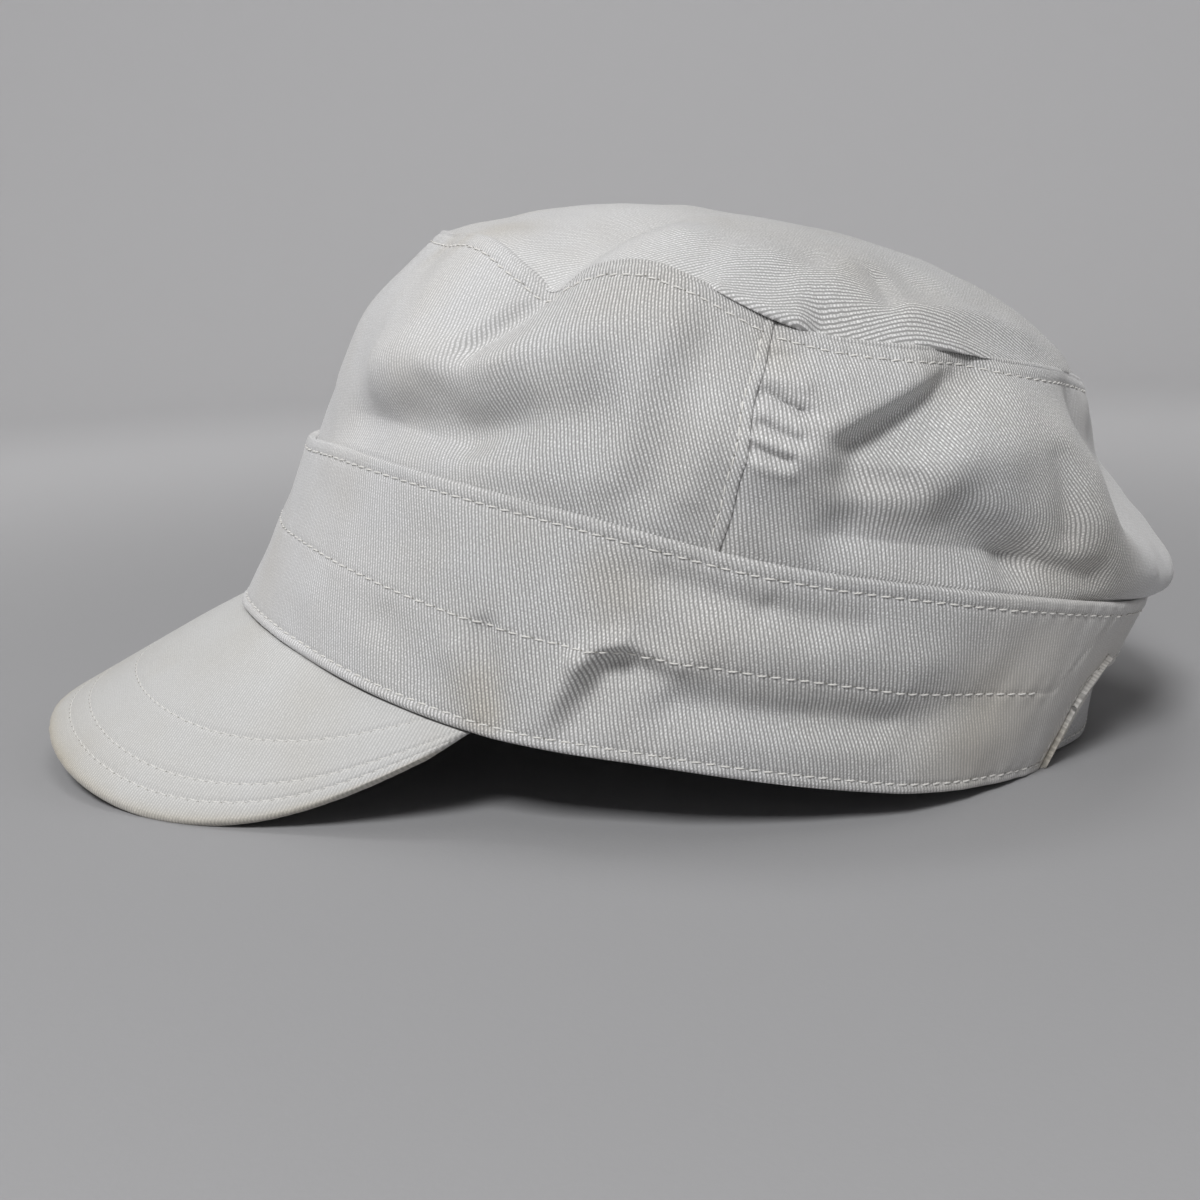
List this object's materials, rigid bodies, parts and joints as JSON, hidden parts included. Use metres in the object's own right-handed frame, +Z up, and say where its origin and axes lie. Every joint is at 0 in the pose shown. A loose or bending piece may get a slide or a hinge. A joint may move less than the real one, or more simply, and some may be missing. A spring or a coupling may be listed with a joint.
{
  "type": "cadet cap",
  "caption": "Soft flat-topped cadet cap of white cotton twill: stiff curved peak, tall band with a back opening and strap, seamed crown with folds.",
  "frame": {"origin": "middle of the bounding box, on the surface that the cap rests on", "axes": "+Z up, -Y towards the tip of the peak, +Y to the back, +X to the wearer's left"},
  "size_m": [0.1762, 0.2752, 0.126],
  "materials": {
    "peak_twill": "white cotton twill over a stiff board, slightly yellowed at the edge",
    "band_twill": "white cotton twill, doubled and top-stitched",
    "crown_twill": "white cotton twill, soft and lightly creased"
  },
  "bodies": {
    "root": {"peak": "peak_twill", "band": "band_twill", "back_strap": "band_twill", "crown_front": "crown_twill", "crown_rear": "crown_twill", "crown_top": "crown_twill"}
  },
  "joints": []
}
